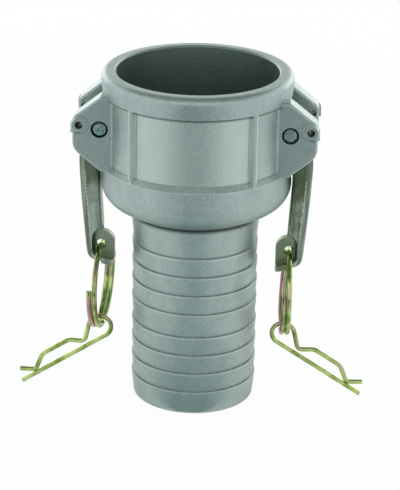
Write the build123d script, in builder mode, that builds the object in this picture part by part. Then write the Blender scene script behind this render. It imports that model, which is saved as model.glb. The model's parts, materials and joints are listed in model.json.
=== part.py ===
from build123d import *

import os
from math import acos, asin, atan2, ceil, cos, degrees, hypot, radians, sin, tan

# Cam and groove coupler with a barbed hose shank, in millimetres.
# Z runs along the waterway, and the origin is the middle of the shank's end face.
# The two cam levers face each other on the X axis, and their pins are parallel to Y.

# Hose shank: a rounded nose, then two groups of saw teeth, then a plain neck
waterway_radius = 22.2
waterway_chamfer = 0.5
nose_radius = 24.45
nose_rounding = 1.3
barb_radius = 25.4
barb_root_radius = 24.8
barb_land = 1.0
barb_pitch = 8.0
barbs_per_group = 4
first_barb_height = 10.0
group_gap = 9.9
neck_length = 12.73
neck_radius = 26.0

# Head from its underside up: bowl, plain band, ledge, panelled wall, rolled lip
bowl_slope = 27.0
bowl_radius = 10.0
band_radius = 38.2
band_draft = 0.5
band_height = 7.23
ledge_height = 2.2
panel_radius = 36.1
panel_height = 27.6
lip_radius = 38.1
lip_height = 8.7
lip_draft = 0.4
lip_widest_drop = 3.7
lip_shoulder_radius = 2.6
mouth_chamfer = 0.6
rib_angle = 49.5
rib_height = 1.6
rib_top_width = 2.0
rib_base_width = 4.6
bead_height = 0.45
bead_width = 0.9

# Socket inside the head, with the gasket in its undercut
bore_radius = 32.3
guide_radius = 31.9
seat_radius = 33.6
seat_height = 6.4
seat_drop = 25.5
gasket_bore_radius = 25.4
gasket_thickness = 6.35
gasket_edge_gap = 0.25
gasket_edge_break = 0.4
funnel_depth = 8.0

# Lugs that carry the pins, and the window in the wall behind each cam
pin_drop = 12.3
pin_reach = 37.5
lug_gap = 15.5
lug_thickness = 8.25
lug_reach = 48.2
lug_root_radius = 30.0
lug_upper_corner = 4.5
lug_lower_corner = 8.45
lug_upper_fillet = 3.0
lug_lower_fillet = 6.5
lug_edge_rounding = 0.9
lug_tuck = 1.0
window_height = 18.0
window_corner = 1.0
lock_hole_radius = 1.35
lock_hole_out = 8.05
lock_hole_up = 1.75
lock_boss_radius = 2.85
lock_boss_height = 0.8
lock_boss_draft = 20.0

# Pivot pins, with a ring of short splines under one end
pin_radius = 3.15
pin_end_chamfer = 0.65
pin_recess = 0.45
pin_lug_gap = 0.02
pin_cam_gap = 0.06
spline_teeth = 24
spline_height = 0.15
spline_length = 3.0
spline_gap = 0.05

# Cam levers, as they lie closed on the +X side
cam_hub_radius = 5.1
cam_lobe_radius = 4.6
cam_lobe_reach = 3.4
cam_lobe_drop = 0.6
cam_heel_radius = 3.4
cam_heel_out = 4.2
cam_heel_drop = 3.4
cam_side_gap = 0.55
lever_step = 1.9
lever_band_gap = 0.4
lever_reach = 9.5
lever_shoulder_drop = 13.8
lever_knee_drop = 30.7
lever_knee_reach = 8.55
lever_waist = 1.3
lever_shoulder_bend = 60.0
lever_back_bend = 200.0
lever_bevel_width = 2.4
lever_bevel_depth = 0.8
lever_edge_width = 0.7
lever_edge_depth = 1.2
lever_rounding = 2.0
ring_hole_drop = 53.75
ring_hole_out = 0.6
ring_hole_radius = 2.0
tip_inner = 5.4
tip_drop = 8.2
tip_corner = 4.4
tip_edge = 0.8
tip_slope = 12.0
tip_web = 3.4
tip_dome_radius = 4.9
tip_dome_up = 0.75
pocket_out = 3.4
pocket_up = 3.4
pocket_radius = 4.9
pocket_wall = 2.5
pocket_floor = 2.4
pocket_corner = 2.6

# Split rings of coiled wire through the lever tips
ring_wire = 2.1
ring_radius = 17.3
ring_pitch = 2.2
ring_start = 35.0
ring_sweep = 606.0
ring_hole_slack = 0.25
ring_lean_right = 2.1
ring_lean_left = 1.0
ring_twist_right = 3.5
ring_twist_left = 5.0

# Safety clips of bent wire, hung on the rings with their tips on the floor
clip_wire = 1.9
clip_leg = 41.1
clip_loop_radius = 4.6
clip_valley_in = 9.1
clip_valley_height = 2.0
clip_crest_in = 14.6
clip_crest_out = 27.5
clip_crest_height = 5.95
clip_mouth_in = 33.7
clip_mouth_height = 1.4
clip_end_in = 39.1
clip_end_height = 5.0
clip_valley_bend = 2.4
clip_crest_bend = 5.0
clip_ring_gap = 0.3
clip_floor_gap = 0.02

# Heights of the body, from the end face up
barb_heights = [
    first_barb_height + barb_pitch * n + (group_gap - barb_pitch) * (n // barbs_per_group)
    for n in range(2 * barbs_per_group)
]
neck_top = barb_heights[-1] + neck_length
knee_radius = band_radius - bowl_radius * (1 - sin(radians(bowl_slope)))
knee_height = neck_top + (knee_radius - neck_radius) * tan(radians(bowl_slope))
band_bottom = knee_height + bowl_radius * cos(radians(bowl_slope))
band_top = band_bottom + band_height
panel_bottom = band_top + ledge_height
lip_bottom = panel_bottom + panel_height
rim_height = lip_bottom + lip_height
pin_height = lip_bottom - pin_drop
seat_floor = pin_height - seat_drop
seat_top = seat_floor + seat_height
guide_top = pin_height - window_height / 2 - (bore_radius - guide_radius)

# Widths between the lugs, from the middle outwards
lug_inner_face = lug_gap / 2
lug_outer_face = lug_inner_face + lug_thickness
cam_face = lug_inner_face - cam_side_gap
lever_face = cam_face - lever_step

# Places of the ring hole and the hanging ring
ring_hole_x = pin_reach + ring_hole_out
ring_hole_z = pin_height - ring_hole_drop
ring_top = ring_hole_z - ring_hole_radius + ring_wire / 2 + ring_hole_slack

# Lug: one cheek beside a cam, from the lip down to the band, with the boss of its locking hole
lock_x = pin_reach + lock_hole_out
lock_z = pin_height + lock_hole_up
with BuildPart() as lug:
    with BuildSketch(Plane.XZ.offset(-lug_outer_face)):
        with BuildLine():
            FilletPolyline(
                (lug_root_radius, band_top - lug_tuck),
                (band_radius - lug_tuck, band_top),
                (lug_reach, pin_height - lug_lower_corner),
                (lug_reach, pin_height + lug_upper_corner),
                (lip_radius - lug_tuck, lip_bottom + lug_tuck),
                (lug_root_radius, lip_bottom + lug_tuck),
                radius=[0, 0, lug_lower_fillet, lug_upper_fillet, 0, 0],
                close=True,
            )
        make_face()
    extrude(amount=lug_thickness)
    fillet(lug.faces().filter_by(Axis.Y).edges(), lug_edge_rounding)
    with BuildSketch(Plane.XZ.offset(-lug_outer_face - lock_boss_height)):
        with Locations((lock_x, lock_z)):
            Circle(lock_boss_radius)
            Rectangle(lock_boss_radius, lock_boss_radius, align=(Align.MIN, Align.MAX))
    extrude(amount=lock_boss_height + lug_edge_rounding, taper=-lock_boss_draft)

lug_pair = [lug.part, mirror(lug.part, about=Plane.XZ)]

# Body, one casting: first the outside, turned, with a sharp step above each tooth
with BuildPart() as body:
    with BuildSketch(Plane.XZ) as turned:
        with BuildLine():
            outline = [(0, 0), (nose_radius, 0)]
            for height in barb_heights:
                outline += [(barb_radius, height - barb_land), (barb_radius, height)]
                outline += [(barb_root_radius, height)]
            outline += [(neck_radius, neck_top), (knee_radius, knee_height)]
            Polyline(outline)
            CenterArc(
                (band_radius - bowl_radius, band_bottom), bowl_radius, bowl_slope - 90, 90 - bowl_slope
            )
            Polyline(
                (band_radius, band_bottom),
                (band_radius - band_draft, band_top),
                (panel_radius, panel_bottom),
                (panel_radius, lip_bottom),
                (lip_radius - lip_draft, lip_bottom),
                (lip_radius, rim_height - lip_widest_drop),
                (lip_radius, rim_height),
                (0, rim_height),
                (0, 0),
            )
        make_face()
        fillet(turned.vertices().group_by(Axis.Y)[0].sort_by(Axis.X)[-1], nose_rounding)
        fillet(turned.vertices().group_by(Axis.Y)[-1].sort_by(Axis.X)[-1], lip_shoulder_radius)
    revolve(axis=Axis.Z)

    # Four ribs divide the wall into panels, and a fine bead runs down beside each lug
    bead_angle = degrees(asin(lug_outer_face / panel_radius))
    with BuildSketch(Plane.XY.offset(band_top)):
        for side in (0, 180):
            with Locations(*(Location((0, 0, 0), (0, 0, side + turn * rib_angle)) for turn in (1, -1))):
                Polygon(
                    (panel_radius - rib_height, -rib_base_width / 2),
                    (panel_radius + rib_height, -rib_top_width / 2),
                    (panel_radius + rib_height, rib_top_width / 2),
                    (panel_radius - rib_height, rib_base_width / 2),
                    align=None,
                )
            with Locations(*(Location((0, 0, 0), (0, 0, side + turn * bead_angle)) for turn in (1, -1))):
                with Locations((panel_radius, 0)):
                    Rectangle(2 * bead_height, bead_width)
    extrude(amount=ledge_height + panel_height + lug_tuck)

    with PolarLocations(0, 2):
        add(lug_pair)

    # The waterway, the gasket's undercut seat and the socket above it
    with BuildSketch(Plane.XZ):
        with BuildLine():
            Polyline(
                (0, 0),
                (waterway_radius + waterway_chamfer, 0),
                (waterway_radius, waterway_chamfer),
                (waterway_radius, seat_floor - funnel_depth),
                (gasket_bore_radius, seat_floor),
                (seat_radius, seat_floor),
                (seat_radius, seat_top),
                (guide_radius, seat_top),
                (guide_radius, guide_top),
                (bore_radius, guide_top + bore_radius - guide_radius),
                (bore_radius, rim_height - mouth_chamfer),
                (bore_radius + mouth_chamfer, rim_height),
                (0, rim_height),
                close=True,
            )
        make_face()
    revolve(axis=Axis.Z, mode=Mode.SUBTRACT)

    # A window through the wall behind each cam
    with BuildSketch(Plane.YZ):
        with Locations((0, pin_height)):
            RectangleRounded(lug_gap, window_height, window_corner)
    extrude(amount=lug_reach, both=True, mode=Mode.SUBTRACT)

    # Pin holes and locking holes right through both lugs
    with BuildSketch(Plane.XZ):
        with Locations((pin_reach, pin_height), (-pin_reach, pin_height)):
            Circle(pin_radius + pin_lug_gap)
        with Locations((lock_x, lock_z), (-lock_x, lock_z)):
            Circle(lock_hole_radius)
    extrude(amount=lug_outer_face + 2 * lock_boss_height, both=True, mode=Mode.SUBTRACT)

    # A shallow counterbore at the end where each pin's splines bite
    spline_seat = pin_recess + pin_end_chamfer + spline_length + 2 * spline_gap
    for side in (1, -1):
        with BuildSketch(Plane.XZ.offset(side * lug_outer_face)):
            with Locations((side * pin_reach, pin_height)):
                Circle(pin_radius + spline_height + spline_gap)
        extrude(amount=-side * spline_seat, mode=Mode.SUBTRACT)

# Gasket: a flat rubber ring, sprung into the undercut
with BuildPart() as gasket:
    with BuildSketch(Plane.XY.offset(seat_floor)):
        Circle(seat_radius - gasket_edge_gap)
        Circle(gasket_bore_radius, mode=Mode.SUBTRACT)
    extrude(amount=gasket_thickness)
    chamfer(gasket.edges(), gasket_edge_break)

# Pivot pin: its splined end is at the front of the +X lugs
pin_end = lug_outer_face - pin_recess
with BuildPart() as pivot_pin_right:
    with BuildSketch(Plane.XZ):
        with Locations((pin_reach, pin_height)):
            Circle(pin_radius)
    extrude(amount=pin_end, both=True)
    chamfer(pivot_pin_right.edges().filter_by(GeomType.CIRCLE), pin_end_chamfer)
    with BuildSketch(Plane.XZ.offset(pin_end - pin_end_chamfer)):
        with Locations((pin_reach, pin_height)):
            with PolarLocations(pin_radius, spline_teeth):
                Rectangle(2 * spline_height, 2 * spline_height)
    extrude(amount=-spline_length)

with BuildPart() as pivot_pin_left:
    add(pivot_pin_right.part, rotation=(0, 0, 180))


# Where a straight line from a point touches a circle, on the side that the turn angle picks
def tangent_point(center, radius, point, side):
    away = atan2(point[1] - center[1], point[0] - center[0])
    turn = acos(radius / hypot(point[0] - center[0], point[1] - center[1]))
    return (center[0] + radius * cos(away + side * turn), center[1] + radius * sin(away + side * turn))


# Cam lever: a cam and heel round the pin, a flat lever, and a tip pocketed to a web for the ring
heel = (pin_reach + cam_heel_out, pin_height - cam_heel_drop)
shoulder = (pin_reach + lever_reach, pin_height - lever_shoulder_drop)
knee = (pin_reach + lever_knee_reach, pin_height - lever_knee_drop)
heel_edge = tangent_point(heel, cam_heel_radius, shoulder, 1)
lever_inner = max(band_radius, panel_radius) + lever_band_gap
waist = ring_hole_x - lever_waist
tip_x = ring_hole_x - tip_inner
dome = (tip_x + tip_dome_radius, ring_hole_z + tip_dome_up)
pocket_x = ring_hole_x + pocket_out
pocket_z = ring_hole_z + pocket_up
back_x = pocket_x + pocket_wall
tip_bottom = ring_hole_z - tip_drop
tip_rise = tan(radians(tip_slope))
back_end = (back_x - tip_edge, tip_bottom + (back_x - tip_edge - tip_x) * tip_rise)
with BuildPart() as cam_arm_right:
    with BuildSketch(Plane.XZ):
        with BuildLine():
            FilletPolyline(
                heel_edge,
                shoulder,
                knee,
                (back_x, ring_hole_z),
                back_end,
                (tip_x, tip_bottom),
                (tip_x, dome[1]),
                (waist, dome[1]),
                (lever_inner, band_bottom),
                (lever_inner, heel[1]),
                radius=[0, lever_shoulder_bend, lever_back_bend, 0, tip_corner, tip_edge, 0, 0, 0, 0],
                close=True,
            )
        make_face()
        with Locations(dome):
            Circle(tip_dome_radius)
    extrude(amount=lever_face, both=True)
    inner_edges = cam_arm_right.faces().filter_by(Axis.Y).edges().filter_by(
        lambda edge: edge.center().X < lever_inner + tip_edge and edge.center().Z > dome[1] + tip_dome_radius
    )
    fillet(inner_edges, lever_rounding)

    # The long back edges are bevelled and then broken, from the heel round to the tip
    back_middle = ((back_end[0] + tip_x) / 2, (back_end[1] + tip_bottom) / 2)
    for side in (1, -1):
        with BuildLine(Plane.XZ.offset(-side * lever_face)) as back_edge:
            FilletPolyline(
                heel_edge,
                shoulder,
                knee,
                (back_x, ring_hole_z),
                back_end,
                back_middle,
                radius=[lever_shoulder_bend, lever_back_bend, 0, tip_corner],
            )
        section = Plane(origin=back_edge.line @ 0, x_dir=(0, side, 0), z_dir=back_edge.line % 0)
        out = -1 if section.y_dir.X < 0 else 1
        with BuildSketch(section):
            with BuildLine():
                Polyline(
                    (0, -out * lever_bevel_width),
                    (-lever_bevel_depth, -out * lever_edge_width),
                    (-lever_bevel_depth - lever_edge_depth, 0),
                    (-lever_bevel_depth - lever_edge_depth, out * lever_bevel_width),
                    (lever_bevel_depth, out * lever_bevel_width),
                    (lever_bevel_depth, -out * lever_bevel_width),
                    close=True,
                )
            make_face()
        sweep(path=back_edge.line, mode=Mode.SUBTRACT)

    # The cam and heel, wider than the lever
    with BuildSketch(Plane.XZ):
        with Locations((pin_reach, pin_height)):
            Circle(cam_hub_radius)
        with Locations((pin_reach - cam_lobe_reach, pin_height - cam_lobe_drop)):
            Circle(cam_lobe_radius)
        with Locations(heel):
            Circle(cam_heel_radius)
        make_hull()
    extrude(amount=cam_face, both=True)

    # A pocket on each side leaves the thin web round the ring hole
    for side in (1, -1):
        with BuildSketch(Plane.XZ.offset(-side * tip_web / 2)):
            with Locations((pocket_x - pocket_radius, pocket_z)):
                Circle(pocket_radius)
            with BuildLine():
                FilletPolyline(
                    (tip_x - tip_inner, pocket_z),
                    (tip_x - tip_inner, tip_bottom + pocket_floor - tip_inner * tip_rise),
                    (pocket_x, tip_bottom + pocket_floor + (pocket_x - tip_x) * tip_rise),
                    (pocket_x, pocket_z),
                    radius=[0, 0, pocket_corner, 0],
                    close=True,
                )
            make_face()
        extrude(amount=-side * cam_face, mode=Mode.SUBTRACT)

    # Bores for the pivot pin and the ring
    with BuildSketch(Plane.XZ):
        with Locations((pin_reach, pin_height)):
            Circle(pin_radius + pin_cam_gap)
        with Locations((ring_hole_x, ring_hole_z)):
            Circle(ring_hole_radius)
    extrude(amount=lug_inner_face, both=True, mode=Mode.SUBTRACT)

with BuildPart() as cam_arm_left:
    add(cam_arm_right.part, rotation=(0, 0, 180))

# Pull ring: one wire wound a little over one and a half turns, like a key ring.
# It is drawn with its top, where it passes the lever's hole, at the origin and its axis along X.
ring_end = ring_start + ring_sweep
ring_half_height = (ring_radius**2 - (ring_pitch / 4) ** 2) ** 0.5


# A point of the wire's middle line, at an angle from the top round the back
def coil_point(angle):
    half_turns, rest = divmod(angle, 180)
    return (
        ring_pitch * (1 - half_turns / 2 - (1 - cos(radians(rest))) / 4),
        ring_radius * sin(radians(angle)),
        ring_half_height * (cos(radians(angle)) - 1),
    )


# Each half turn is a flat arc that leans by half a pitch, so the wire runs on without a kink
with BuildPart() as coil:
    with BuildLine() as turns:
        bounds = [ring_start, *range(180, ceil(ring_end), 180), ring_end]
        for start, end in zip(bounds, bounds[1:]):
            ThreePointArc(coil_point(start), coil_point((start + end) / 2), coil_point(end))
    with BuildSketch(Plane(origin=turns.line @ 0, z_dir=turns.line % 0)):
        Circle(ring_wire / 2)
    sweep(path=turns.line)

# Both rings hang with a small lean towards -X, and each is twisted so that its back comes inwards
with BuildPart() as pull_ring_right:
    with Locations(Location((ring_hole_x, 0, ring_top), (0, ring_lean_right, ring_twist_right))):
        add(coil.part)

with BuildPart() as pull_ring_left:
    with Locations(Location((-ring_hole_x, 0, ring_top), (0, ring_lean_left, -ring_twist_left))):
        add(coil.part)

# Safety clip: a loop over the ring's two bottom strands, a straight leg and a waved leg.
# It is drawn flat, with the middle of its loop at the origin and the straight leg along X.
valley = (clip_valley_in, clip_valley_height - clip_loop_radius)
loop_end = tangent_point((0, 0), clip_loop_radius, valley, 1)
loop_angle = degrees(atan2(loop_end[1], loop_end[0]))
with BuildPart() as clip:
    with BuildLine() as clip_path:
        Line((clip_leg, -clip_loop_radius), (0, -clip_loop_radius))
        CenterArc((0, 0), clip_loop_radius, -90, loop_angle - 270)
        FilletPolyline(
            loop_end,
            valley,
            (clip_crest_in, clip_crest_height - clip_loop_radius),
            (clip_crest_out, clip_crest_height - clip_loop_radius),
            (clip_mouth_in, clip_mouth_height - clip_loop_radius),
            (clip_end_in, clip_end_height - clip_loop_radius),
            radius=[clip_valley_bend, clip_crest_bend, clip_crest_bend, clip_valley_bend],
        )
    with BuildSketch(Plane(origin=clip_path.line @ 0, z_dir=clip_path.line % 0)):
        Circle(clip_wire / 2)
    sweep(path=clip_path.line)

# How far the middle of a clip's loop hangs below the top of its ring
strand_reach = clip_loop_radius - clip_wire / 2 - clip_ring_gap - ring_wire / 2
hang = 2 * ring_half_height + (strand_reach**2 - (ring_pitch / 2) ** 2) ** 0.5
leg_radius = clip_loop_radius + clip_wire / 2


# A clip hangs from its leaning ring, and falls outwards until its straight leg touches the floor
def clip_place(side, lean):
    loop_z = ring_top - hang * cos(radians(lean))
    fall = asin((loop_z - clip_floor_gap) / hypot(clip_leg, leg_radius)) - atan2(leg_radius, clip_leg)
    return Plane(
        origin=(side * ring_hole_x - hang * sin(radians(lean)), 0, loop_z),
        x_dir=(side * cos(fall), 0, -sin(fall)),
        z_dir=(0, -side, 0),
    )


with BuildPart() as safety_clip_right:
    with Locations(clip_place(1, ring_lean_right)):
        add(clip.part)

with BuildPart() as safety_clip_left:
    with Locations(clip_place(-1, ring_lean_left)):
        add(clip.part)

pieces = {
    "body": body,
    "gasket": gasket,
    "pivot_pin_right": pivot_pin_right,
    "pivot_pin_left": pivot_pin_left,
    "cam_arm_right": cam_arm_right,
    "cam_arm_left": cam_arm_left,
    "pull_ring_right": pull_ring_right,
    "pull_ring_left": pull_ring_left,
    "safety_clip_right": safety_clip_right,
    "safety_clip_left": safety_clip_left,
}
os.makedirs("parts", exist_ok=True)
for name, piece in pieces.items():
    piece.part.label = name
    export_step(piece.part, f"parts/{name}.step")
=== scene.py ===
import json
from math import pi, radians

import bpy
from mathutils import Matrix, Vector

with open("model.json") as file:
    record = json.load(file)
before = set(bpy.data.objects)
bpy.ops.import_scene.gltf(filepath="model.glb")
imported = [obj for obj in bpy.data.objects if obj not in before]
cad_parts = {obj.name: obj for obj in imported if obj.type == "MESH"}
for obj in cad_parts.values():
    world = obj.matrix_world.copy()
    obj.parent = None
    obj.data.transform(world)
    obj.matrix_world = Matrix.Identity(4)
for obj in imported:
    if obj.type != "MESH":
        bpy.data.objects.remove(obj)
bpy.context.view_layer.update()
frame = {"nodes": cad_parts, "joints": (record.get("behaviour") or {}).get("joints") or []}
nodes = frame["nodes"]


# Body: one aluminium casting, tumbled until its edges are soft and its skin is a fine matt grain.
# It is left bare, so the metal keeps the cool grey-green of a clean casting.
# The socket is turned afterwards, and the holes for the pins and the clips are drilled.
class Pattern:
    """A socket of a finish. Arithmetic on it adds the Math nodes that work it out."""

    def __init__(self, socket):
        self.socket = socket

    def node(self, kind, settings, inputs, output=0):
        """Adds one node beside this socket: its settings first, then its inputs' values or links."""
        tree = self.socket.id_data
        made = tree.nodes.new(kind)
        for name, value in settings.items():
            setattr(made, name, value)
        for name, value in inputs.items():
            if isinstance(value, Pattern):
                tree.links.new(value.socket, made.inputs[name])
            else:
                made.inputs[name].default_value = value
        return Pattern(made.outputs[output])

    def math(self, operation, *values):
        """One Math node beside this socket, on those values or patterns."""
        return self.node("ShaderNodeMath", {"operation": operation}, dict(enumerate(values)))

    def __add__(self, other):
        return self.math("ADD", self, other)

    def __radd__(self, other):
        return self.math("ADD", other, self)

    def __sub__(self, other):
        return self.math("SUBTRACT", self, other)

    def __rsub__(self, other):
        return self.math("SUBTRACT", other, self)

    def __mul__(self, other):
        return self.math("MULTIPLY", self, other)

    def __rmul__(self, other):
        return self.math("MULTIPLY", other, self)

    def __abs__(self):
        return self.math("ABSOLUTE", self)

    def larger(self, other):
        """Whichever of this and the other is larger."""
        return self.math("MAXIMUM", self, other)

    def angle_over(self, base):
        """The angle whose tangent is this over the base, in radians."""
        return self.math("ARCTAN2", self, base)

    def reach(self, other):
        """The length of the slanted side over this and the other."""
        return self.math("SQRT", self * self + other * other)

    def axes(self):
        """The X, Y and Z of this place."""
        return [self.node("ShaderNodeSeparateXYZ", {}, {0: self}, output) for output in range(3)]

    def ramp(self, low, high):
        """0 at low and 1 at high, with a smooth step between; low may be the larger."""
        return self.node(
            "ShaderNodeMapRange",
            {"interpolation_type": "SMOOTHSTEP"},
            {"Value": self, "From Min": low, "From Max": high},
        )

    def near(self, value, width):
        """1 at the value, and 0 from half the width away."""
        return abs(self - value).ramp(width / 2, 0)

    def noise(self, scale, detail, stretch=(1, 1, 1)):
        """Grain on this place, with that many lumps to the metre."""
        spread = self.node(
            "ShaderNodeVectorMath", {"operation": "MULTIPLY"}, {0: self, 1: stretch}
        )
        return self.node(
            "ShaderNodeTexNoise", {}, {"Vector": spread, "Scale": scale, "Detail": detail}
        )

    def blend(self, low, high):
        """The first colour where this is 0, and the second where it is 1."""
        return self.node(
            "ShaderNodeMix", {"data_type": "RGBA"}, {"Factor": self, 6: low, 7: high}, output=2
        )


def finish(name, metallic=1.0):
    """A new finish: its material, its place on the object, and its shader."""
    material = bpy.data.materials.new(name)
    material.use_nodes = True
    tree = material.node_tree
    shader = tree.nodes["Principled BSDF"]
    shader.inputs["Metallic"].default_value = metallic
    place = Pattern(tree.nodes.new("ShaderNodeTexCoord").outputs["Object"])
    return material, place, shader


def tumbled(grain, strength, depth):
    """The normal of a tumbled casting: its edges rounded over, and its grain standing up."""
    rounded = grain.node("ShaderNodeBevel", {}, {"Radius": edge_rounding})
    relief = {"Strength": strength, "Distance": depth, "Height": grain, "Normal": rounded}
    return grain.node("ShaderNodeBump", {}, relief)


def feed(shader, **inputs):
    """Links patterns to a shader's inputs, by the inputs' names with underscores for blanks."""
    for name, pattern in inputs.items():
        shader.id_data.links.new(pattern.socket, shader.inputs[name.replace("_", " ")])


def dress(material, *names):
    """Gives the named pieces that finish alone."""
    for name in names:
        nodes[name].data.materials.clear()
        nodes[name].data.materials.append(material)


cast_grey = (0.48, 0.56, 0.545, 1)
# The darker cast tone serves for the grain and also as painted shade
cast_dark_and_shade = (0.36, 0.44, 0.43, 1)
# A painted highlight colour, then painted light for the panels
painted_edge_highlight = (0.74, 0.82, 0.79, 1)
painted_panel_light = (0.58, 0.66, 0.64, 1)
# The turned grey is partly painted shade inside the socket
turned_grey_and_shade = (0.28, 0.37, 0.35, 1)
# Painted shade for corners
painted_crevice_shade = (0.03, 0.04, 0.037, 1)
# Painted shade for holes and recesses
painted_recess_shade = (0.05, 0.06, 0.055, 1)
edge_rounding = 0.0004

# Heights, radii and angles on the casting, from the end of the shank up
first_step = 0.01
step_pitch = 0.008
step_count = 8
steps_per_group = 4
group_gap = 0.0019
step_radius = 0.0254
neck_top = 0.08063
neck_radius = 0.026
band_top = 0.1002
band_radius = 0.0382
ledge_top = 0.1024
panel_radius = 0.0361
wall_inside = 0.0345
lip_bottom = 0.13
bore_radius = 0.0323
bore_bottom = 0.0982
rib_angle = radians(49.5)
rib_half_angle = radians(1.55)
rib_foot_angle = 2.2 * rib_half_angle
rib_foot_width = radians(1.1)
bead_angle = radians(26.8)
bead_half_angle = radians(0.7)

# The pivot pins' axis, the lugs that hold them, and the locking holes beside them
pin_x, _, pin_z = frame["joints"][0]["pos_m"]
pin_hole_radius = 0.0034
lug_root = 0.0325
lug_face = 0.016
lock_hole_x = pin_x + 0.00805
lock_hole_z = pin_z + 0.00175
lock_hole_radius = 0.0015
lock_boss_radius = 0.0031

# The small lengths beside a size say how far a tone reaches from it, and how soft its edge is
cast_body, place, shader = finish("cast_body")
x, y, z = place.axes()
radius = x.reach(y)
turn = abs(y).angle_over(abs(x))
mottle = place.noise(140, 5, stretch=(1, 1, 0.5))
grain = place.noise(1200, 2)
skin = (mottle * 0.4 + grain * 0.6).ramp(0.3, 0.7).blend(cast_dark_and_shade, cast_grey)

# Painted light makes the panels lighter, most of all those at the sides, and puts a painted highlight on
# the ribs' edges and the beads; painted shade darkens the ribs' tops
outside = radius.ramp(wall_inside - 0.0005, wall_inside)
in_panel = radius.ramp(panel_radius + 0.0004, panel_radius + 0.0002) * outside
wall_height = z.ramp(ledge_top - 0.0006, ledge_top) * z.ramp(lip_bottom, lip_bottom - 0.0002)
side_light_share = turn.ramp(rib_angle - rib_half_angle, rib_angle + rib_half_angle) * 0.5 + 0.15
skin = (in_panel * wall_height * side_light_share).blend(skin, painted_panel_light)
on_wall = radius.ramp(panel_radius, panel_radius + 0.0003) * wall_height
rib_top = turn.near(rib_angle, 2.6 * rib_half_angle)
rib_top = rib_top * radius.ramp(panel_radius + 0.0009, panel_radius + 0.0014)
rib_edge = turn.near(rib_angle - rib_half_angle * 0.6, rib_half_angle)
bead = turn.near(bead_angle, 3 * bead_half_angle)
skin = (rib_top * on_wall).blend(skin, cast_dark_and_shade)
skin = ((rib_edge * 0.7 + bead) * on_wall).blend(skin, painted_edge_highlight)

# The lugs' outer faces are painted a little darker than the wall, as painted shade
lug_side = abs(y).ramp(lug_face - 0.0003, lug_face - 0.0001) * abs(x).ramp(lug_root, lug_root + 0.0002)
lug_side = lug_side * z.ramp(lip_bottom + 0.0005, lip_bottom)
skin = (lug_side * 0.35).blend(skin, cast_dark_and_shade)

# The locking holes' bosses get a painted highlight round their edges
lock_reach = (abs(x) - lock_hole_x).reach(z - lock_hole_z)
boss_edge = lock_reach.near(lock_boss_radius, 0.0008) * abs(y).ramp(lug_face - 0.0001, lug_face + 0.0001)
skin = (boss_edge * 0.9).blend(skin, painted_edge_highlight)

# The edge of the band gets a painted highlight too
band_edge = z.near(band_top, 0.0007) * radius.ramp(band_radius - 0.0007, band_radius - 0.0003)
skin = (band_edge * 0.6).blend(skin, painted_edge_highlight)

# Painted shade darkens the corners under the lip, the bosses and the bowl, round the panels and above
# each tooth
lip_corner = z.near(lip_bottom - 0.0007, 0.0022)
lip_corner = lip_corner * radius.ramp(panel_radius + 0.0012, panel_radius + 0.0008)
panel_foot = z.near(ledge_top, 0.0009) * radius.ramp(panel_radius + 0.0009, panel_radius + 0.0004)
rib_foot = turn.near(rib_angle + rib_foot_angle, rib_foot_width)
rib_foot = rib_foot + turn.near(rib_angle - rib_foot_angle, rib_foot_width)
boss_foot = z.near(lock_hole_z - lock_boss_radius - 0.0001, 0.0007)
boss_foot = boss_foot * abs(y).ramp(lug_face - 0.0001, lug_face)
boss_foot = boss_foot * abs(x).ramp(lock_hole_x - 0.0012, lock_hole_x)
boss_round = lock_reach.near(lock_boss_radius + 0.0007, 0.0008)
boss_round = boss_round * abs(y).ramp(lug_face + 0.0003, lug_face + 0.0001)
boss_round = boss_round * abs(y).ramp(lug_face - 0.0002, lug_face - 0.0001)
neck_corner = z.near(neck_top - 0.0003, 0.0042) * radius.ramp(neck_radius + 0.002, neck_radius + 0.0012)
teeth = [first_step + step_pitch * n + group_gap * (n // steps_per_group) for n in range(step_count)]
steps = sum(z.near(height + 0.0001, 0.0006) for height in teeth)
steps = steps * radius.ramp(step_radius, step_radius - 0.0003)
skin = (lip_corner * outside * 0.75).blend(skin, painted_crevice_shade)
skin = ((panel_foot + rib_foot * in_panel * wall_height) * outside * 0.4).blend(skin, painted_crevice_shade)
skin = (boss_foot * 0.9 + boss_round * 0.3).blend(skin, painted_crevice_shade)
skin = (neck_corner * 0.95).blend(skin, painted_crevice_shade)
skin = (steps * 0.3).blend(skin, painted_crevice_shade)

# The teeth's crests get a painted highlight
crests = sum(z.near(height - 0.0005, 0.0009) for height in teeth)
crests = crests * radius.ramp(step_radius - 0.0002, step_radius)
skin = (crests * 0.35).blend(skin, painted_edge_highlight)

# The turned socket is darker, partly for its turned finish and partly as painted shade inside it, and the
# holes of the pins and the clips are painted dark as shade
bore = radius.ramp(bore_radius + 0.0004, bore_radius + 0.0002) * z.ramp(bore_bottom, bore_bottom + 0.0005)
pin_bore = (abs(x) - pin_x).reach(z - pin_z).ramp(pin_hole_radius + 0.0001, pin_hole_radius)
lock_bore = lock_reach.ramp(lock_hole_radius + 0.0001, lock_hole_radius)
skin = bore.blend(skin, turned_grey_and_shade)
skin = (pin_bore + lock_bore).blend(skin, painted_recess_shade)
relief = tumbled(grain, strength=0.4, depth=0.0003)
feed(shader, Base_Color=skin, Roughness=grain * 0.16 + 0.37, Normal=relief)
dress(cast_body, "body")


# Gasket: a moulded black rubber ring, sprung into its seat at the bottom of the socket.
# Its skin is matt, with the faint bloom that such rubber gets.
rubber_black = (0.012, 0.012, 0.013, 1)
rubber_bloom = (0.03, 0.03, 0.031, 1)
gasket_rubber, place, shader = finish("gasket_rubber", metallic=0.0)
bloom = place.noise(160, 4)
skin = bloom.ramp(0.35, 0.75).blend(rubber_black, rubber_bloom)
feed(shader, Base_Color=skin, Roughness=bloom * 0.2 + 0.55)
dress(gasket_rubber, "gasket")
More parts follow.
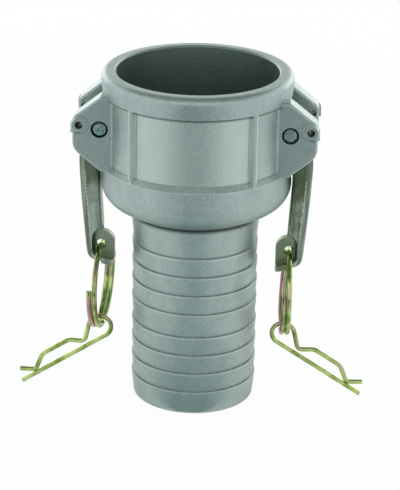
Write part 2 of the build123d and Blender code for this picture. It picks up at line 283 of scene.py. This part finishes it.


# Pivot pins: cut steel with a thin blue zinc skin, pressed through both lugs and the cam.
# The middle of each end keeps the marks of the cut. Its chamfer is painted dark as shade, and at one end
# of each pin the splines get painted highlights between grooves of painted shade.
pin_dull = (0.2, 0.33, 0.34, 1)
pin_bright = (0.5, 0.62, 0.62, 1)
painted_spline_highlight = (0.55, 0.65, 0.65, 1)
pin_face_radius = 0.0027
spline_count = 24
pin_steel, place, shader = finish("pin_steel")
x, y, z = place.axes()
out = abs(x) - pin_x
up = z - pin_z
cut = place.noise(700, 2, stretch=(1, 0.2, 3))
spline = x.math("COSINE", up.angle_over(out) * spline_count)
splined_end = (x * y).ramp(0, -1e-6)
# A ring of painted shade round each end's face, with painted highlights on the splines at one end
rim = out.reach(up).ramp(pin_face_radius, pin_face_radius + 0.0002)
face = cut.ramp(0.35, 0.65).blend(pin_dull, pin_bright)
painted_rim_light = (spline.ramp(-0.1, 0.3) * splined_end).blend(painted_recess_shade, painted_spline_highlight)
feed(shader, Base_Color=rim.blend(face, painted_rim_light), Roughness=cut * 0.2 + 0.28)
dress(pin_steel, "pivot_pin_right", "pivot_pin_left")


# Cam levers: investment-cast steel, tumbled and left bare, a darker and more olive grey than the body.
# Handling and the polishing belt leave soft streaks that run down each lever, and its top is painted a
# darker olive as a painted shadow of the lugs.
lever_light = (0.52, 0.6, 0.51, 1)
lever_dark = (0.2, 0.25, 0.2, 1)
lever_olive = (0.2, 0.23, 0.12, 1)
# The heel's colour is painted shadow, the web's is painted shade in the pocket, and the shine is a
# painted highlight
painted_heel_shadow = (0.125, 0.155, 0.09, 1)
painted_pocket_shade = (0.27, 0.32, 0.22, 1)
back_light = (0.3, 0.37, 0.32, 1)
back_dark = (0.12, 0.16, 0.13, 1)
painted_lever_highlight = (0.85, 0.9, 0.8, 1)
tip_height = 0.063
shoulder_height = 0.1015
ridge_bottom, ridge_top = 0.068, 0.099
heel_bottom, heel_top = 0.092, 0.104
tip_bevel_x = 0.04155
bevel_slope = 0.0792
bevel_bulge = 0.54
web_face = 0.0017
pocket_x = 0.0366
pocket_z = 0.06735
pocket_radius = 0.0049
pocket_side = pocket_x + pocket_radius
pocket_top = pocket_z + pocket_radius

cast_lever, place, shader = finish("cast_lever")
x, y, z = place.axes()
streaks = place.noise(420, 4, stretch=(1, 1, 0.06))
grain = place.noise(1500, 3)
patches = place.noise(150, 4)
skin = (streaks * 0.65 + grain * 0.35).ramp(0.37, 0.6).blend(lever_dark, lever_light)

# The right lever is the more olive of the two, and both are painted darker towards the heel, as a painted
# shadow of the lugs
skin = (patches.ramp(0.42, 0.58) * x.ramp(-0.01, 0.01) * 0.8).blend(skin, lever_olive)
skin = ((z + patches * 0.02).ramp(heel_bottom, heel_top) * 0.85).blend(skin, painted_heel_shadow)

# Painted shade darkens the floor of the tip's pocket, most of all against its wall
up = z - pocket_z
wall = abs(x).ramp(pocket_side - 0.002, pocket_side - 0.0005)
arc = (abs(x) - pocket_x).reach(up).ramp(pocket_radius - 0.0018, pocket_radius - 0.0005)
arc = arc * up.ramp(0, 0.0005)
on_web = abs(y).ramp(web_face + 0.0004, web_face + 0.0001) * z.ramp(pocket_top, pocket_top - 0.0002)
skin = (on_web * 0.8).blend(skin, painted_pocket_shade)
skin = (wall.larger(arc) * on_web * 0.9).blend(skin, painted_recess_shade)

# The bevel along the back is darker, and its edge between the tip and the heel gets a painted highlight
above_tip = z - tip_height
bevel_x = above_tip * bevel_slope + tip_bevel_x + above_tip * (shoulder_height - z) * bevel_bulge
bevel = (abs(x) - bevel_x).ramp(0.0001, 0.0004)
ridge = (abs(x) - bevel_x).near(0, 0.0006) * z.ramp(ridge_bottom, ridge_bottom + 0.008)
ridge = ridge * z.ramp(ridge_top, ridge_top - 0.005)
back = streaks.ramp(0.4, 0.6).blend(back_dark, back_light)
skin = (bevel * 0.85).blend(skin, back)
skin = (ridge * grain.ramp(0.4, 0.6) * 0.8).blend(skin, painted_lever_highlight)
relief = tumbled(grain, strength=0.35, depth=0.0002)
feed(shader, Base_Color=skin, Roughness=streaks * 0.18 + 0.32, Normal=relief)
dress(cast_lever, "cam_arm_right", "cam_arm_left")


# Pull rings and safety clips: bright steel wire with a yellow zinc skin, green where it is thicker.
# The skin turns to pink in patches, and most of all low down on the left strand of each ring
# and over the top of the loop that each clip hangs by.
zinc_dark = (0.18, 0.29, 0.045, 1)
zinc_light = (0.54, 0.66, 0.26, 1)
zinc_pink = (0.5, 0.26, 0.29, 1)
ring_x = 0.0381
left_strand = -0.0012
pink_bottom = 0.026
pink_top = 0.048
past_the_clips = 0.1


def zinc(name, pink, pink_x, *pieces):
    """Yellow zinc on wire, with that share of pink in patches and, low down, to the left of that X."""
    material, place, shader = finish(name)
    x, _, z = place.axes()
    skin = place.noise(170, 2)
    yellow = skin.ramp(0.28, 0.66).blend(zinc_dark, zinc_light)
    patches = place.noise(75, 1).ramp(0.52, 0.6) * pink * 0.5
    low_down = z.ramp(pink_bottom, pink_bottom + 0.005) * z.ramp(pink_top, pink_top - 0.002)
    wire_end = (x - pink_x).ramp(left_strand, left_strand - 0.0006) * low_down * pink
    colour = patches.larger(wire_end).blend(yellow, zinc_pink)
    feed(shader, Base_Color=colour, Roughness=skin * 0.1 + 0.1)
    dress(material, *pieces)


zinc("ring_wire_right", 0.8, ring_x, "pull_ring_right")
zinc("ring_wire_left", 0.8, -ring_x, "pull_ring_left")
zinc("clip_wire", 0.6, past_the_clips, "safety_clip_right", "safety_clip_left")


# Studio: a white floor in a white room, and a large soft light behind each side of the coupler.
# A grey ceiling and a shaded card on the floor in front only show in reflections.
# They give the metal its tones.
def quad(name, corners):
    """A flat sheet of the studio between those corners."""
    mesh = bpy.data.meshes.new(name)
    mesh.from_pydata(corners, [], [range(len(corners))])
    made = bpy.data.objects.new(name, mesh)
    bpy.context.scene.collection.objects.link(made)
    return made


def square(half, height):
    """The corners of a level square about the coupler's axis."""
    return [(-half, -half, height), (half, -half, height), (half, half, height), (-half, half, height)]


def card(name, corners):
    """A card that only shows in reflections: its place, and the glow that it shows there."""
    made = quad(name, corners)
    material = bpy.data.materials.new(name)
    material.use_nodes = True
    tree = material.node_tree
    tree.nodes.remove(tree.nodes["Principled BSDF"])
    glow = tree.nodes.new("ShaderNodeEmission")
    tree.links.new(glow.outputs[0], tree.nodes["Material Output"].inputs["Surface"])
    made.data.materials.append(material)
    made.visible_camera = False
    made.visible_diffuse = False
    made.visible_shadow = False
    return Pattern(tree.nodes.new("ShaderNodeTexCoord").outputs["Object"]), glow


def backdrop_rays(tree):
    """1 on rays from the camera; and 1 on those and on the rays that metal or glass sends on."""
    path = tree.nodes.new("ShaderNodeLightPath")
    camera_ray, glossy_ray, clear_ray = [
        Pattern(path.outputs[f"Is {kind} Ray"]) for kind in ("Camera", "Glossy", "Transmission")
    ]
    return camera_ray, camera_ray.larger(glossy_ray.larger(clear_ray))


# The floor is matt paper under a white glow, nearly full to the camera and about half to the metal.
# What the glow leaves of the paper takes the coupler's shadow.
paper_colour = (0.86, 0.92, 0.91, 1)
glow_to_metal = 0.45
more_to_camera = 0.5
floor_half = 4.0
floor = quad("floor", square(floor_half, 0))
paper = bpy.data.materials.new("paper")
paper.use_nodes = True
tree = paper.node_tree
tree.nodes.remove(tree.nodes["Principled BSDF"])
camera_ray, seen = backdrop_rays(tree)
matt = seen.node("ShaderNodeBsdfDiffuse", {}, {"Color": paper_colour})
glow = seen.node("ShaderNodeEmission", {}, {"Color": (1, 1, 1, 1), "Strength": 1.0})
white_share = seen * glow_to_metal + camera_ray * more_to_camera
sheet = seen.node("ShaderNodeMixShader", {}, {0: white_share, 1: matt, 2: glow})
tree.links.new(sheet.socket, tree.nodes["Material Output"].inputs["Surface"])
floor.data.materials.append(paper)

# The card widens away from the shank. It is dark at its far end, and pale to both sides.
# Near the shank the card is darker, a painted shadow of the coupler on the floor as the metal sees it
card_dark = (0.04, 0.12, 0.12, 1)
card_grey = (0.49, 0.59, 0.57, 1)
card_pale_in_shadow = (0.5, 0.58, 0.56, 1)
card_pale = (0.92, 0.93, 0.93, 1)
card_height = 0.001
near_half, near_end = 0.05, -0.024
far_half, far_end = 0.9, -1.2
foot_start, foot_end = -0.03, -0.1
dark_start, dark_end = -0.17, -0.26
pale_start, pale_end = radians(15), radians(38)
foot_shadow_level = 0.6
place, glow = card(
    "front_card",
    [
        (-far_half, far_end, card_height),
        (far_half, far_end, card_height),
        (near_half, near_end, card_height),
        (-near_half, near_end, card_height),
    ],
)
x, y, _ = place.axes()
foot = y.ramp(foot_start, foot_end)
lit = y.ramp(dark_end, dark_start) * (foot * (1 - foot_shadow_level) + foot_shadow_level)
aside = abs(x).angle_over(abs(y)).ramp(pale_start, pale_end)
grey = lit.blend(card_dark, card_grey)
pale = foot.blend(card_pale_in_shadow, card_pale)
feed(glow, Color=aside.blend(grey, pale))

ceiling_grey = (0.28, 0.34, 0.32, 1)
ceiling_half = 1.2
ceiling_height = 1.1
_, glow = card("ceiling", square(ceiling_half, ceiling_height))
glow.inputs["Color"].default_value = ceiling_grey

# The room is full white to the camera and the metal, and a little dimmer to what is matt
room_light = 0.85
world = bpy.data.worlds.new("studio")
world.use_nodes = True
tree = world.node_tree
background = tree.nodes["Background"]
_, seen = backdrop_rays(tree)
level = seen * (1 - room_light) + room_light
tree.links.new(level.socket, background.inputs["Strength"])
background.inputs["Color"].default_value = (1, 1, 1, 1)
bpy.context.scene.world = world

# The soft lights stand behind the coupler on both sides, and face its middle
middle = Vector((0, 0, 0.08))
softbox_size = 0.6
softbox_glow = 1.3
softbox_aside, softbox_back, softbox_height = 0.52, 0.8, 0.22
for side in (-1, 1):
    box = bpy.data.lights.new("softbox", "AREA")
    box.shape = "SQUARE"
    box.size = softbox_size
    box.energy = softbox_glow * pi * softbox_size**2
    lamp = bpy.data.objects.new("softbox", box)
    lamp.location = (side * softbox_aside, softbox_back, softbox_height)
    lamp.rotation_euler = (middle - Vector(lamp.location)).to_track_quat("-Z", "Y").to_euler()
    bpy.context.scene.collection.objects.link(lamp)


# Camera: a long lens in front of the coupler and a little above it, turned a hair to one side.
# Its place, lens and turns were solved from the coupler's rims, bore and lugs.
camera_place = (0.0498, -0.8914, 0.4206)
camera_turn = radians(3.07)
camera_tilt = radians(90 - 21.76)
camera_roll = radians(1.003)
camera_data = bpy.data.cameras.new("camera")
camera_data.sensor_width = 36.0
camera_data.lens = 174.05
camera = bpy.data.objects.new("camera", camera_data)
camera.matrix_world = (
    Matrix.Translation(camera_place)
    @ Matrix.Rotation(camera_turn, 4, "Z")
    @ Matrix.Rotation(camera_tilt, 4, "X")
    @ Matrix.Rotation(camera_roll, 4, "Z")
)
bpy.context.scene.collection.objects.link(camera)
bpy.context.scene.camera = camera
bpy.context.scene.view_settings.view_transform = "Standard"
